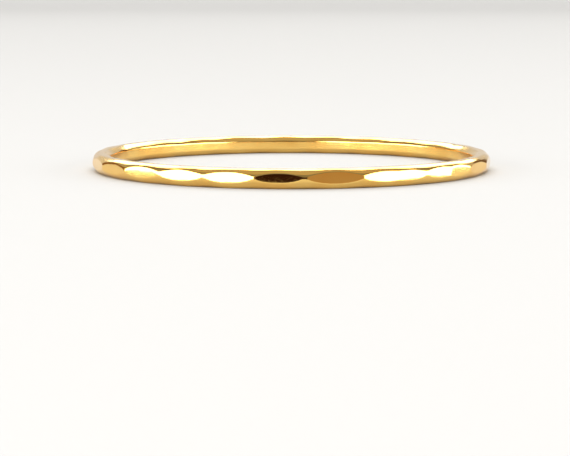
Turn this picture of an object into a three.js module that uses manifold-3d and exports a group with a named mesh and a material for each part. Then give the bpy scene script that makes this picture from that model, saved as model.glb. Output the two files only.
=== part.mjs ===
// A hammered stacking ring: a round gold wire bent into a hoop, trued on a mandrel and on a bench
// block, then struck flat all round its outside. Millimetres, +Z up. The ring lies on its side: its
// axis is Z, its underside is z = 0 and the middle of its front faces -Y.

import * as THREE from 'three';
import { mergeVertices } from 'three/addons/utils/BufferGeometryUtils.js';
import Module from 'manifold-3d';

// Driving dimensions.
const INSIDE_DIAMETER = 17.35; // US size 7
const WIRE_DIAMETER = 0.9; // round wire before any blow, between 20 and 19 gauge
const MANDREL_FLAT = 0.045; // how deep the mandrel presses the inside of the wire flat
const BENCH_FLAT = 0.01; // how deep the bench block presses the top and underside flat
const SPREAD = 0.4; // how far the wire spreads up and down, as a share of how deep it is struck

// The wire as a mesh: sides round its section, and steps round the ring.
const WIRE_SIDES = 18;
const RING_STEPS = 120;

// A hammer is a block with a flat face. It is larger than any mark that it leaves.
const HAMMER_FACE = 4;
const HAMMER_DEPTH = 2;

const WIRE_RADIUS = WIRE_DIAMETER / 2;
const RING_RADIUS = INSIDE_DIAMETER / 2 + WIRE_RADIUS - MANDREL_FLAT; // to the wire's centre line
const HALF_HEIGHT = WIRE_RADIUS - BENCH_FLAT;
const FRONT = -90; // the direction of -Y, in degrees from +X

// One row for each blow. at: where it lands, in degrees from the front, positive to the right.
// bite: how far it sinks below the crest of the wire. lean: how far its face looks up, in degrees.
const BLOWS = [
  { at: -3.6, bite: 0.061, lean: 4.6 },
  { at: 11.9, bite: 0.086, lean: 8.4 },
  { at: 26.5, bite: 0.068, lean: 5.6 },
  { at: 33.4, bite: 0.063, lean: 4.6 },
  { at: 46.4, bite: 0.065, lean: 5.2 },
  { at: 53.6, bite: 0.066, lean: 4.1 },
  { at: 66.5, bite: 0.074, lean: 2.8 },
  { at: 80.6, bite: 0.079, lean: -1.6 },
  { at: 95.2, bite: 0.070, lean: 2.2 },
  { at: 109.4, bite: 0.077, lean: -3.1 },
  { at: 123.6, bite: 0.068, lean: 0.7 },
  { at: 138.4, bite: 0.081, lean: 3.4 },
  { at: 152.4, bite: 0.072, lean: -2.3 },
  { at: 167.1, bite: 0.076, lean: 1.2 },
  { at: 181.9, bite: 0.070, lean: -1.4 },
  { at: 198.0, bite: 0.078, lean: 2.7 },
  { at: 212.8, bite: 0.073, lean: -2.9 },
  { at: 227.7, bite: 0.080, lean: 0.9 },
  { at: 241.9, bite: 0.069, lean: 3.1 },
  { at: 256.6, bite: 0.077, lean: -1.1 },
  { at: 270.7, bite: 0.072, lean: 1.9 },
  { at: 285.5, bite: 0.080, lean: 3.6 },
  { at: 299.9, bite: 0.075, lean: 4.4 },
  { at: 314.2, bite: 0.073, lean: 3.9 },
  { at: 328.5, bite: 0.074, lean: 4.9 },
  { at: 342.8, bite: 0.074, lean: 4.3 },
];

const wasm = await Module();
wasm.setup();

const gold = new THREE.MeshStandardMaterial({
  name: 'polished_gold',
  color: 0xf2cf76,
  roughness: 0.1,
  metalness: 1,
});

/** A closed geometry as a solid that can be cut. */
function solidOf(geometry) {
  const bare = geometry.clone();
  bare.deleteAttribute('normal');
  bare.deleteAttribute('uv');
  const merged = mergeVertices(bare);
  return new wasm.Manifold(new wasm.Mesh({
    numProp: 3,
    vertProperties: new Float32Array(merged.attributes.position.array),
    triVerts: new Uint32Array(merged.index.array),
  }));
}

/** A solid's surface as a geometry. */
function geometryOf(solid) {
  const { vertProperties, triVerts } = solid.getMesh();
  const geometry = new THREE.BufferGeometry();
  geometry.setAttribute('position', new THREE.BufferAttribute(vertProperties, 3));
  geometry.setIndex(new THREE.BufferAttribute(triVerts, 1));
  geometry.computeVertexNormals();
  return geometry;
}

/** Half of the arc, in degrees, that a blow of this depth flattens. */
function halfSpan(bite) {
  return THREE.MathUtils.radToDeg(Math.acos(1 - bite / (RING_RADIUS + WIRE_RADIUS)));
}

/** How far the wire has spread up and down at an angle from the front, both in degrees. */
function spreadAt(angle) {
  const swells = BLOWS.map(({ at, bite }) => {
    const away = Math.abs(THREE.MathUtils.euclideanModulo(angle - at + 180, 360) - 180);
    const share = Math.min(away / halfSpan(bite), 1);
    return SPREAD * bite * Math.cos(share * Math.PI / 2) ** 2;
  });
  return Math.max(...swells);
}

/** The bent wire, trued on the mandrel and the bench block, with the swell that its blows leave. */
function truedWire() {
  const wire = new THREE.TorusGeometry(RING_RADIUS, WIRE_RADIUS, WIRE_SIDES, RING_STEPS);
  const place = wire.attributes.position;
  for (let i = 0; i < place.count; i += 1) {
    const turn = Math.atan2(place.getY(i), place.getX(i));
    const swell = 1 + spreadAt(THREE.MathUtils.radToDeg(turn) - FRONT) / WIRE_RADIUS;
    const out = Math.hypot(place.getX(i), place.getY(i));
    const radius = Math.max(out, INSIDE_DIAMETER / 2);
    const height = THREE.MathUtils.clamp(place.getZ(i) * swell, -HALF_HEIGHT, HALF_HEIGHT);
    place.setXYZ(i, radius * Math.cos(turn), radius * Math.sin(turn), height);
  }
  return wire;
}

/** The block that a hammer's face sweeps, where it stands at the end of its blow. */
function hammer({ at, bite, lean }) {
  const block = new THREE.BoxGeometry(HAMMER_DEPTH, HAMMER_FACE, HAMMER_FACE);
  block.translate(WIRE_RADIUS - bite + HAMMER_DEPTH / 2, 0, 0);
  block.rotateY(-THREE.MathUtils.degToRad(lean));
  block.translate(RING_RADIUS, 0, 0);
  block.rotateZ(THREE.MathUtils.degToRad(FRONT + at));
  return block;
}

/** The band: the trued wire with every blow taken out of its outside. */
function hammeredBand() {
  let band = solidOf(truedWire());
  for (const blow of BLOWS) {
    band = band.subtract(solidOf(hammer(blow)));
  }
  const mesh = new THREE.Mesh(geometryOf(band), gold);
  mesh.name = 'hammered_band';
  mesh.position.z = HALF_HEIGHT;
  return mesh;
}

const ring = new THREE.Group();
ring.name = 'stackable_ring';
ring.add(hammeredBand());

export default ring;
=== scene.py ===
# %% [markdown]
# # A hammered stacking ring
#
# The real thing is one piece of metal. A jeweller cuts a length of round gold wire, bends it into
# a hoop, closes the joint so well that it vanishes, trues the hoop on a mandrel and on a steel
# block, and then strikes it with a flat hammer all the way round its outside. Each blow leaves a
# small flat, about as long as a grain of rice is wide.
#
# The lesson follows the same order: wire, hoop, blows, truing, finish, and then a photographer's
# table to look at it on. The metres, the axes and the place of the ring come from the packed
# frame, which was made for use and has coarse sides. The piece made here stands for it.

# %% Load the frame
import math

import bpy
import numpy as np
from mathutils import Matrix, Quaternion, Vector


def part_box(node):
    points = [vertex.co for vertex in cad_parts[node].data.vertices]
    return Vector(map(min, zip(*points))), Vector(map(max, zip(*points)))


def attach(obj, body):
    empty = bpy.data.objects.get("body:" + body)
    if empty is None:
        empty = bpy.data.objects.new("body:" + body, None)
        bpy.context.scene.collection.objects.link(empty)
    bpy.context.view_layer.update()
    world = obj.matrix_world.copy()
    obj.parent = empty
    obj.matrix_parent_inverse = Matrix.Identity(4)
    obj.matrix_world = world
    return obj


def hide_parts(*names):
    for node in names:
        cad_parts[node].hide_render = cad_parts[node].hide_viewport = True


MM = 0.001

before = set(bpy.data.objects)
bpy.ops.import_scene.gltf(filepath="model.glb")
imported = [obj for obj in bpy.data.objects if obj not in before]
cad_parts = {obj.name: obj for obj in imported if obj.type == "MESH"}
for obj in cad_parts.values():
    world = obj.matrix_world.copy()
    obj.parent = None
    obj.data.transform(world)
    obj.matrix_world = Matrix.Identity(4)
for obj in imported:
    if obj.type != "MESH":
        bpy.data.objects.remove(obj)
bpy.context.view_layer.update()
cad_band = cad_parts["hammered_band"]

# %% [markdown]
# ## Measuring the hoop
#
# Nothing is typed in twice. The inside of the hoop is the nearest that the frame's band comes to
# its axis, the crest of the wire is the furthest, and the height is the band's own. Only the
# wire's diameter is a number of this lesson, because the truing has taken some of it away.

# %% Measure the hoop
WIRE_DIAMETER = 0.9 * MM


def places_of(mesh):
    """The mesh's vertices as rows of x, y and z."""
    rows = np.empty(len(mesh.vertices) * 3)
    mesh.vertices.foreach_get("co", rows)
    return rows.reshape(-1, 3)


band_low, band_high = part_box("hammered_band")
from_axis = np.hypot(*places_of(cad_band.data)[:, :2].T)
bore_radius = float(from_axis.min())
crest_radius = float(from_axis.max())
wire_radius = WIRE_DIAMETER / 2
ring_radius = crest_radius - wire_radius
mid_height = (band_low.z + band_high.z) / 2
print("bore, crest, wire centre, mm:", [round(r / MM, 3) for r in (bore_radius, crest_radius, ring_radius)])

# %% [markdown]
# ## Finding the blows
#
# Every blow on the frame's band is one flat patch that faces outwards and is larger than any
# facet of the wire between them. Triangles that share a direction and a plane are gathered into
# patches, and the large ones are kept. The alternative is a second table of blows in this
# script, but two tables can come to differ, and a measured one can't.

# %% Find the blows
LEAST_MARK = 0.25 * MM * MM
SAME_WAY = math.cos(math.radians(0.2))
SAME_PLANE = 0.001 * MM
OUTWARD = 0.8


def flat_patches(mesh, least_area):
    """(direction, point) of each outward flat patch with at least that area, the largest first."""
    count = len(mesh.polygons)
    normals, centres, areas = np.empty(count * 3), np.empty(count * 3), np.empty(count)
    mesh.polygons.foreach_get("normal", normals)
    mesh.polygons.foreach_get("center", centres)
    mesh.polygons.foreach_get("area", areas)
    normals, centres = normals.reshape(-1, 3), centres.reshape(-1, 3)
    free = np.ones(count, bool)
    patches = []
    for i in np.argsort(-areas):
        way = normals[i]
        if not free[i] or way @ (centres[i] * (1, 1, 0)) < OUTWARD * bore_radius:
            continue
        level = np.abs((centres - centres[i]) @ way) < SAME_PLANE
        same = free & level & (normals @ way > SAME_WAY)
        free &= ~same
        if areas[same].sum() > least_area:
            patches.append((Vector(way), Vector(np.average(centres[same], 0, areas[same]))))
    return patches


blows = flat_patches(cad_band.data, LEAST_MARK)
print("blows:", len(blows))

# %% [markdown]
# ## The wire, bent into a hoop
#
# The section of the wire is a circle of many sides, stood up in the plane of X and Z. A torus
# primitive would give the same hoop, but here the section can be worked on first: the mandrel
# leaves a narrow flat on the inside of the wire, and that flat is easiest to press while the
# wire is still a flat circle. The Screw modifier then sweeps the section once round the Z axis.
# Spin does that too, but it searches for doubles after each of its thousand steps.

# %% Helpers for working in edit mode
bpy.context.tool_settings.mesh_select_mode = (True, False, False)


def pick(piece, chosen):
    """Goes into edit mode with only the chosen vertices of the piece selected."""
    bpy.ops.object.mode_set(mode="OBJECT")
    mesh = piece.data
    mesh.polygons.foreach_set("select", np.zeros(len(mesh.polygons), bool))
    mesh.edges.foreach_set("select", np.zeros(len(mesh.edges), bool))
    mesh.vertices.foreach_set("select", chosen)
    bpy.ops.object.mode_set(mode="EDIT")


def press(piece, outward, point, keep=0.0):
    """Presses all that stands proud of a plane back to it, and leaves keep of what stood proud."""
    proud = (places_of(piece.data) - np.array(point)) @ np.array(outward) > 0
    pick(piece, proud)
    turn = outward.to_track_quat("Z", "Y").to_matrix()
    bpy.ops.transform.resize(
        value=(1, 1, keep),
        constraint_axis=(False, False, True),
        orient_type="GLOBAL",
        orient_matrix=turn,
        orient_matrix_type="GLOBAL",
        center_override=point,
    )
    bpy.ops.object.mode_set(mode="OBJECT")
    return int(proud.sum())


# %% Bend the wire
SECTION_SIDES = 96
HOOP_STEPS = 1000
UP = Vector((0, 0, 1))

bpy.ops.object.select_all(action="DESELECT")
bpy.ops.mesh.primitive_circle_add(
    vertices=SECTION_SIDES,
    radius=wire_radius,
    location=(ring_radius, 0, mid_height),
    rotation=(math.pi / 2, 0, 0),
)
band = bpy.context.object
band.name = band.data.name = "gold_band"
bpy.ops.object.transform_apply(location=True, rotation=True, scale=True)
inward = Vector((-1, 0, 0))
flattened = press(band, inward, Vector((bore_radius, 0, mid_height)))

sweep = band.modifiers.new("sweep", "SCREW")
sweep.axis = "Z"
sweep.steps = sweep.render_steps = HOOP_STEPS
sweep.use_merge_vertices = True
sweep.merge_threshold = 0.0001 * MM
bpy.ops.object.modifier_apply(modifier=sweep.name)

bpy.ops.object.mode_set(mode="EDIT")
bpy.ops.mesh.select_all(action="SELECT")
bpy.ops.mesh.normals_make_consistent(inside=False)
bpy.ops.object.mode_set(mode="OBJECT")
print("mandrel flat:", flattened, "of", SECTION_SIDES, "points; hoop faces:", len(band.data.polygons))

# %% [markdown]
# ## The blows
#
# A blow does two things. The metal under the hammer's face goes down to a flat, and because gold
# can't be squeezed smaller, the metal that it pushes away makes the wire a little taller there.
# That swelling is why the edge of a hammered ring runs in shallow scallops.
#
# Cutting the marks out with a boolean would give exact flats with razor edges, and long thin
# faces that shade badly. Pressing moves the vertices that are in the hammer's way down to its
# face and leaves the mesh an even grid. The face is a hair domed, as a planishing hammer's is,
# so each mark keeps a small share of the roundness that it had.
#
# No drawn wire is perfectly round either. A few thousandths of a millimetre of slow unevenness,
# laid on before the blows, is enough to give every mark an outline of its own.

# %% Make the wire a little uneven
UNEVENNESS = 0.016 * MM
UNEVEN_LENGTH = 0.9 * MM

lumps = bpy.data.textures.new("drawn_wire", "CLOUDS")
lumps.noise_scale = UNEVEN_LENGTH
lumps.noise_depth = 1
uneven = band.modifiers.new("uneven", "DISPLACE")
uneven.texture = lumps
uneven.strength = UNEVENNESS
uneven.mid_level = 0.5
even_wire = places_of(band.data)
bpy.ops.object.modifier_apply(modifier=uneven.name)
moved = np.linalg.norm(places_of(band.data) - even_wire, axis=1)
print("uneven by up to, mm:", round(float(moved.max()) / MM, 4))

# %% Strike the band
SPREAD = 0.4
CROWN = 0.05


def section_centre(way):
    """The middle of the wire in the direction that a blow came from."""
    flat_way = Vector((way.x, way.y, 0)).normalized()
    return flat_way * ring_radius + UP * mid_height


def half_length(bite):
    """Half the length of the mark that a blow leaves along the band."""
    return crest_radius * math.acos(1 - bite / crest_radius)


def swell(piece, way, bite):
    """Makes the wire taller where the blow lands, less and less towards the ends of its mark."""
    places = places_of(piece.data)
    centre = section_centre(way)
    across = Vector((-way.y, way.x, 0)).normalized()
    near = np.abs(places @ np.array(across)) < math.pi * ring_radius / HOOP_STEPS
    near &= places @ np.array(centre) > 0
    pick(piece, near)
    bpy.ops.transform.resize(
        value=(1, 1, 1 + SPREAD * bite / wire_radius),
        center_override=centre,
        use_proportional_edit=True,
        proportional_edit_falloff="SMOOTH",
        proportional_size=half_length(bite),
    )
    bpy.ops.object.mode_set(mode="OBJECT")


bites = [wire_radius - (point - section_centre(way)).dot(way) for way, point in blows]
for (way, point), bite in zip(blows, bites):
    swell(band, way, bite)
round_wire = places_of(band.data)
pressed = [press(band, way, point, keep=CROWN) for way, point in blows]
print("bites, mm:", round(min(bites) / MM, 3), "to", round(max(bites) / MM, 3))
print("vertices under each blow:", min(pressed), "to", max(pressed))

# %% [markdown]
# ## Truing
#
# Last, the maker lays the ring on the steel block and taps it flat from both sides, so that a
# stack of them sits close. Two presses do that. One light smoothing then takes the razor off
# every edge, which on the real ring is what an hour in the polishing barrel does. More of it
# would melt the marks away.

# %% True and soften the band
SOFTENING = 0.5
SOFTENING_PASSES = 2

press(band, UP, Vector((0, 0, band_high.z)))
press(band, -UP, Vector((0, 0, band_low.z)))

bpy.ops.object.mode_set(mode="EDIT")
bpy.ops.mesh.select_all(action="SELECT")
bpy.ops.mesh.vertices_smooth(factor=SOFTENING, repeat=SOFTENING_PASSES)
bpy.ops.object.mode_set(mode="OBJECT")
bpy.ops.object.shade_smooth()
print("height, mm:", round(band.dimensions.z / MM, 4))

# %% [markdown]
# ## Where the finish changes
#
# The three surfaces of the band aren't polished alike. The struck marks carry the print of the
# hammer, the skin between them keeps the faint lines of the drawing die, and the bore is
# burnished by the mandrel. Two numbers on each vertex, 0 to 1, tell the material where it is.
# They could be painted by hand, but the modelling already knows them.

# %% Note the struck places and the bore
MARK_EDGE = 0.006 * MM


def note(piece, name, values):
    """Keeps one number for each vertex, which a material reads by this name."""
    field = piece.data.attributes.new(name=name, type="FLOAT", domain="POINT")
    field.data.foreach_set("value", values)


depths = [(round_wire - np.array(point)) @ np.array(way) for way, point in blows]
struck = np.clip(np.max(depths, axis=0) / MARK_EDGE, 0, 1)
inside = np.hypot(*places_of(band.data)[:, :2].T) < bore_radius + MARK_EDGE
note(band, "struck", struck)
note(band, "bore", inside.astype(float))
print("struck share:", round(float(struck.mean()), 3), "bore share:", round(float(inside.mean()), 3))

# %% [markdown]
# ## Polished gold
#
# Gold is a metal, so its colour is the colour of its reflections and there is no paint under
# them. What makes it look like handwork is in its smallest relief:
#
# - a slow waviness, because no hand-polished surface is optically flat,
# - pits in the marks, printed by the face of the hammer,
# - fine lines along the wire and round the bore.
#
# The alternatives are a single roughness, which looks like plastic foil, or an image of
# scratches, which repeats. Noise on the object's own coordinates does neither.

# %% Helpers for building a material
def new_material(name):
    """A material with a node tree, and the tree's shader."""
    material = bpy.data.materials.new(name)
    material.use_nodes = True
    return material, material.node_tree.nodes["Principled BSDF"]


def add(tree, kind, label, **settings):
    """One more node with a label, and with its plain settings set."""
    node = tree.nodes.new(kind)
    node.label = label
    for key, value in settings.items():
        setattr(node, key, value)
    return node


def join(tree, source, target):
    """Links an output to an input."""
    tree.links.new(source, target)


def noise(tree, vector, label, size, detail=2.0):
    """Noise whose lumps are about this size, in metres. Returns its 0 to 1 output."""
    node = add(tree, "ShaderNodeTexNoise", label, noise_dimensions="3D")
    node.inputs["Scale"].default_value = 1 / size
    node.inputs["Detail"].default_value = detail
    join(tree, vector, node.inputs["Vector"])
    return node.outputs["Fac"]


def arithmetic(tree, label, operation, first, second):
    """A Math node. Each operand is an output or a number."""
    node = add(tree, "ShaderNodeMath", label, operation=operation)
    for socket, value in zip(node.inputs, (first, second)):
        if isinstance(value, (int, float)):
            socket.default_value = value
        else:
            join(tree, value, socket)
    return node.outputs["Value"]


def spread_to(tree, value, label, low, high, start=0.0, end=1.0):
    """Takes values from start to end onto low to high."""
    node = add(tree, "ShaderNodeMapRange", label)
    for name, number in (("From Min", start), ("From Max", end), ("To Min", low), ("To Max", high)):
        node.inputs[name].default_value = number
    join(tree, value, node.inputs["Value"])
    return node.outputs["Result"]


def relief(tree, height, depth, label, under=None):
    """A Bump node for a height of 0 to 1 that stands for depth metres, on top of another one."""
    node = add(tree, "ShaderNodeBump", label)
    node.inputs["Strength"].default_value = 1
    node.inputs["Distance"].default_value = depth
    join(tree, height, node.inputs["Height"])
    if under is not None:
        join(tree, under, node.inputs["Normal"])
    return node.outputs["Normal"]


# %% Make the gold
MICRON = 0.001 * MM
GOLD = (0.94, 0.62, 0.18, 1)
DEEP_GOLD = (0.91, 0.55, 0.14, 1)

gold, gold_shader = new_material("polished_gold")
tree = gold.node_tree
place = add(tree, "ShaderNodeTexCoord", "place on the band").outputs["Object"]
struck_here = add(tree, "ShaderNodeAttribute", "struck", attribute_name="struck").outputs["Fac"]
bore_here = add(tree, "ShaderNodeAttribute", "bore", attribute_name="bore").outputs["Fac"]

apart = add(tree, "ShaderNodeSeparateXYZ", "x, y, z")
join(tree, place, apart.inputs["Vector"])
level = add(tree, "ShaderNodeVectorMath", "x and y only", operation="MULTIPLY")
level.inputs[1].default_value = (1, 1, 0)
join(tree, place, level.inputs[0])
radius = add(tree, "ShaderNodeVectorMath", "distance from the axis", operation="LENGTH")
join(tree, level.outputs["Vector"], radius.inputs[0])

LINE_DRIFT = 0.012
section_place = add(tree, "ShaderNodeCombineXYZ", "place in the wire's section")
join(tree, radius.outputs["Value"], section_place.inputs["X"])
join(tree, apart.outputs["Z"], section_place.inputs["Z"])
drift = arithmetic(tree, "slow drift of the lines", "MULTIPLY", apart.outputs["X"], LINE_DRIFT)
join(tree, drift, section_place.inputs["Y"])

waves = noise(tree, place, "hand-polished waviness", 0.55 * MM, detail=1)
prints = noise(tree, place, "print of the hammer", 0.11 * MM, detail=3)
pits = noise(tree, place, "pits", 0.035 * MM, detail=1)
lines = noise(tree, section_place.outputs["Vector"], "lines along the wire", 0.018 * MM, detail=2)
tone = noise(tree, place, "tone", 1.6 * MM, detail=2)

mark_prints = arithmetic(tree, "prints in the marks", "MULTIPLY", prints, struck_here)
pit_height = spread_to(tree, pits, "only the deepest are pits", 0, 1, start=0.28, end=0.40)
mark_pits = arithmetic(tree, "pits in the marks", "MULTIPLY", pit_height, struck_here)
unstruck = arithmetic(tree, "not struck", "SUBTRACT", 1, struck_here)
skin_lines = arithmetic(tree, "lines outside the marks", "MULTIPLY", lines, unstruck)

surface = relief(tree, waves, 3.5 * MICRON, "waviness")
surface = relief(tree, mark_prints, 0.5 * MICRON, "hammer print", surface)
surface = relief(tree, mark_pits, 0.35 * MICRON, "pits", surface)
surface = relief(tree, skin_lines, 0.25 * MICRON, "die lines", surface)
join(tree, surface, gold_shader.inputs["Normal"])

colour = add(tree, "ShaderNodeMix", "gold and deeper gold", data_type="RGBA")
colour.inputs["A"].default_value = GOLD
colour.inputs["B"].default_value = DEEP_GOLD
join(tree, spread_to(tree, tone, "tone", 0, 1, 0.35, 0.65), colour.inputs["Factor"])
join(tree, colour.outputs["Result"], gold_shader.inputs["Base Color"])

skin_gloss = spread_to(tree, lines, "gloss of the skin", 0.10, 0.17, 0.3, 0.7)
gloss_change = arithmetic(tree, "marks are glossier", "MULTIPLY", struck_here, -0.075)
gloss = arithmetic(tree, "gloss", "ADD", skin_gloss, gloss_change)
bore_change = arithmetic(tree, "the bore is duller", "MULTIPLY", bore_here, 0.05)
join(tree, arithmetic(tree, "roughness", "ADD", gloss, bore_change), gold_shader.inputs["Roughness"])
gold_shader.inputs["Metallic"].default_value = 1

band.data.materials.append(gold)
print("gold nodes:", len(tree.nodes))

# %% Put the band on its body
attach(band, "root")
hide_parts("hammered_band")

# %% [markdown]
# ## The table
#
# Polished metal shows its room, so the room has to be built. A pale sweep, which is a floor that
# curves up into walls with no corner, gives the ring something plain to lie on and to mirror.

# %% Build the sweep
SWEEP_FLOOR = 380 * MM
SWEEP_BEND = 140 * MM
SWEEP_HEIGHT = 560 * MM
SWEEP_SIDES = 96
BEND_STEPS = 12

bpy.ops.object.select_all(action="DESELECT")
bpy.ops.mesh.primitive_circle_add(
    vertices=SWEEP_SIDES, radius=SWEEP_FLOOR, fill_type="NGON", location=(0, 0, band_low.z)
)
table = bpy.context.object
table.name = "table_sweep"
bpy.ops.object.mode_set(mode="EDIT")
bpy.context.tool_settings.mesh_select_mode = (False, True, False)
bpy.ops.mesh.select_all(action="SELECT")
bpy.ops.mesh.region_to_loop()
reach, rise = SWEEP_FLOOR, 0.0
for step in range(1, BEND_STEPS + 1):
    bend = math.pi / 2 * step / BEND_STEPS
    next_reach = SWEEP_FLOOR + SWEEP_BEND * math.sin(bend)
    next_rise = SWEEP_BEND * (1 - math.cos(bend))
    bpy.ops.mesh.extrude_edges_move(TRANSFORM_OT_translate={"value": (0, 0, next_rise - rise)})
    grow = next_reach / reach
    bpy.ops.transform.resize(value=(grow, grow, 1), center_override=(0, 0, 0))
    reach, rise = next_reach, next_rise
bpy.ops.mesh.extrude_edges_move(TRANSFORM_OT_translate={"value": (0, 0, SWEEP_HEIGHT - rise)})
bpy.ops.mesh.select_all(action="SELECT")
bpy.ops.mesh.normals_make_consistent(inside=True)
bpy.ops.object.mode_set(mode="OBJECT")
bpy.ops.object.shade_smooth()
print("sweep, mm:", [round(side / MM) for side in table.dimensions])

# %% Cover the sweep
paper, paper_shader = new_material("pale_paper")
paper_shader.inputs["Base Color"].default_value = (0.30, 0.2975, 0.292, 1)
paper_shader.inputs["Roughness"].default_value = 0.85
paper_shader.inputs["Specular IOR Level"].default_value = 0.2
table.data.materials.append(paper)

# %% [markdown]
# ## The light
#
# A mirror is lit by what it mirrors. Two soft boxes stand left and right of the ring, down to
# the table, so that the marks that face them turn white. A third hangs behind and above, and
# draws the white line along the upper edge. In front, where the photographer stands, it is
# dark: a black flag makes one mark almost black, and that contrast is what reads as polish.
#
# The paper needs light from the front too, or the strip of it just before the ring lies in the
# ring's own shadow and the lower half of the wire mirrors mud. The front fill lights the paper
# and is hidden from the metal. Two more lamps light the walls behind the side boxes.

# %% Helpers for placing lights and cards
ring_middle = Vector((0, 0, mid_height))
HALF_TURN = Quaternion((0, 1, 0), math.pi)


def spot_at(azimuth, elevation, distance):
    """A place round the ring. Azimuth 0 is in front, and 90 is on the right."""
    a, e = math.radians(azimuth), math.radians(elevation)
    way = Vector((math.sin(a) * math.cos(e), -math.cos(a) * math.cos(e), math.sin(e)))
    return ring_middle + way * distance


def facing_ring(spot):
    """The turn that points a light or a card at the ring."""
    return (ring_middle - spot).to_track_quat("-Z", "Y")


def soft_box(name, azimuth, elevation, distance, width, height, radiance, away=False):
    """A lit panel. Its power follows from its size and from how bright its face looks."""
    light = bpy.data.lights.new(name, "AREA")
    light.shape = "RECTANGLE"
    light.size, light.size_y = width, height
    light.energy = radiance * math.pi * width * height
    panel = bpy.data.objects.new(name, light)
    panel.location = spot_at(azimuth, elevation, distance)
    panel.rotation_mode = "QUATERNION"
    turn = facing_ring(panel.location)
    panel.rotation_quaternion = turn @ HALF_TURN if away else turn
    panel.visible_camera = False
    bpy.context.scene.collection.objects.link(panel)
    return panel


def card(name, azimuth, elevation, distance, width, height, colour):
    """A card that only the ring's reflections see, so that it throws no shadow on the table."""
    material = bpy.data.materials.new(name)
    material.use_nodes = True
    nodes = material.node_tree.nodes
    nodes.remove(nodes["Principled BSDF"])
    glow = nodes.new("ShaderNodeEmission")
    glow.inputs["Color"].default_value = (*colour, 1)
    material.node_tree.links.new(glow.outputs["Emission"], nodes["Material Output"].inputs["Surface"])
    spot = spot_at(azimuth, elevation, distance)
    bpy.ops.object.select_all(action="DESELECT")
    bpy.ops.mesh.primitive_plane_add(size=1, location=spot)
    sheet = bpy.context.object
    sheet.name = name
    sheet.scale = (width, height, 1)
    sheet.rotation_mode = "QUATERNION"
    sheet.rotation_quaternion = facing_ring(spot)
    sheet.data.materials.append(material)
    sheet.visible_camera = sheet.visible_diffuse = sheet.visible_shadow = False
    return sheet


# %% Place the lights and cards
soft_box("left_box", -62, 12.5, 200 * MM, 330 * MM, 88 * MM, 7.0)
soft_box("right_box", 80, 12.5, 200 * MM, 300 * MM, 88 * MM, 6.5)
soft_box("back_box", 180, 48, 420 * MM, 590 * MM, 364 * MM, 4.4)
fill = soft_box("front_fill", 0, 50, 400 * MM, 500 * MM, 400 * MM, 5.5)
fill.visible_glossy = False
soft_box("wall_lamp_left", -62, 12.5, 201 * MM, 330 * MM, 88 * MM, 8.0, away=True)
soft_box("wall_lamp_right", 80, 12.5, 201 * MM, 300 * MM, 88 * MM, 8.0, away=True)
soft_box("wall_lamp_back", 180, 30, 300 * MM, 560 * MM, 150 * MM, 5.0, away=True)
card("black_flag", 0.5, 9, 190 * MM, 92 * MM, 75 * MM, (0.034, 0.013, 0.009))
card("brown_card", -17, 9, 190 * MM, 24 * MM, 75 * MM, (0.12, 0.055, 0.045))
card("dim_corner_left", -124, 9, 190 * MM, 92 * MM, 75 * MM, (0.26, 0.14, 0.07))
card("dim_corner_right", 143, 9, 190 * MM, 66 * MM, 75 * MM, (0.16, 0.10, 0.06))
card("box_edge", 180, 77.5, 250 * MM, 500 * MM, 34 * MM, (0.10, 0.05, 0.03))
card("warm_card", 28, 9, 190 * MM, 92 * MM, 75 * MM, (0.50, 0.36, 0.24))

world = bpy.data.worlds.new("room")
world.use_nodes = True
world.node_tree.nodes["Background"].inputs["Color"].default_value = (0.57, 0.52, 0.45, 1)
bpy.context.scene.world = world

# %% [markdown]
# ## The camera
#
# A long lens close above the table shows the ring as a very flat oval. The ring sits high in the
# frame and a little right of its middle, so the camera looks a little below it and to its left.

# %% Place the camera
CAMERA_DISTANCE = 105 * MM
CAMERA_ELEVATION = 5.2
LENS = 138
AIM_BELOW = 1.78
AIM_LEFT = 0.17

scene = bpy.context.scene
camera_data = bpy.data.cameras.new("camera")
camera_data.lens = LENS
camera_data.clip_start = 10 * MM
camera_data.clip_end = 2000 * MM
camera = bpy.data.objects.new("camera", camera_data)
camera.location = spot_at(0, CAMERA_ELEVATION, CAMERA_DISTANCE)
tilt = math.radians(90 - CAMERA_ELEVATION - AIM_BELOW)
camera.rotation_euler = (tilt, 0, math.radians(AIM_LEFT))
scene.collection.objects.link(camera)
scene.camera = camera
scene.view_settings.view_transform = "Standard"
scene.view_settings.look = "None"
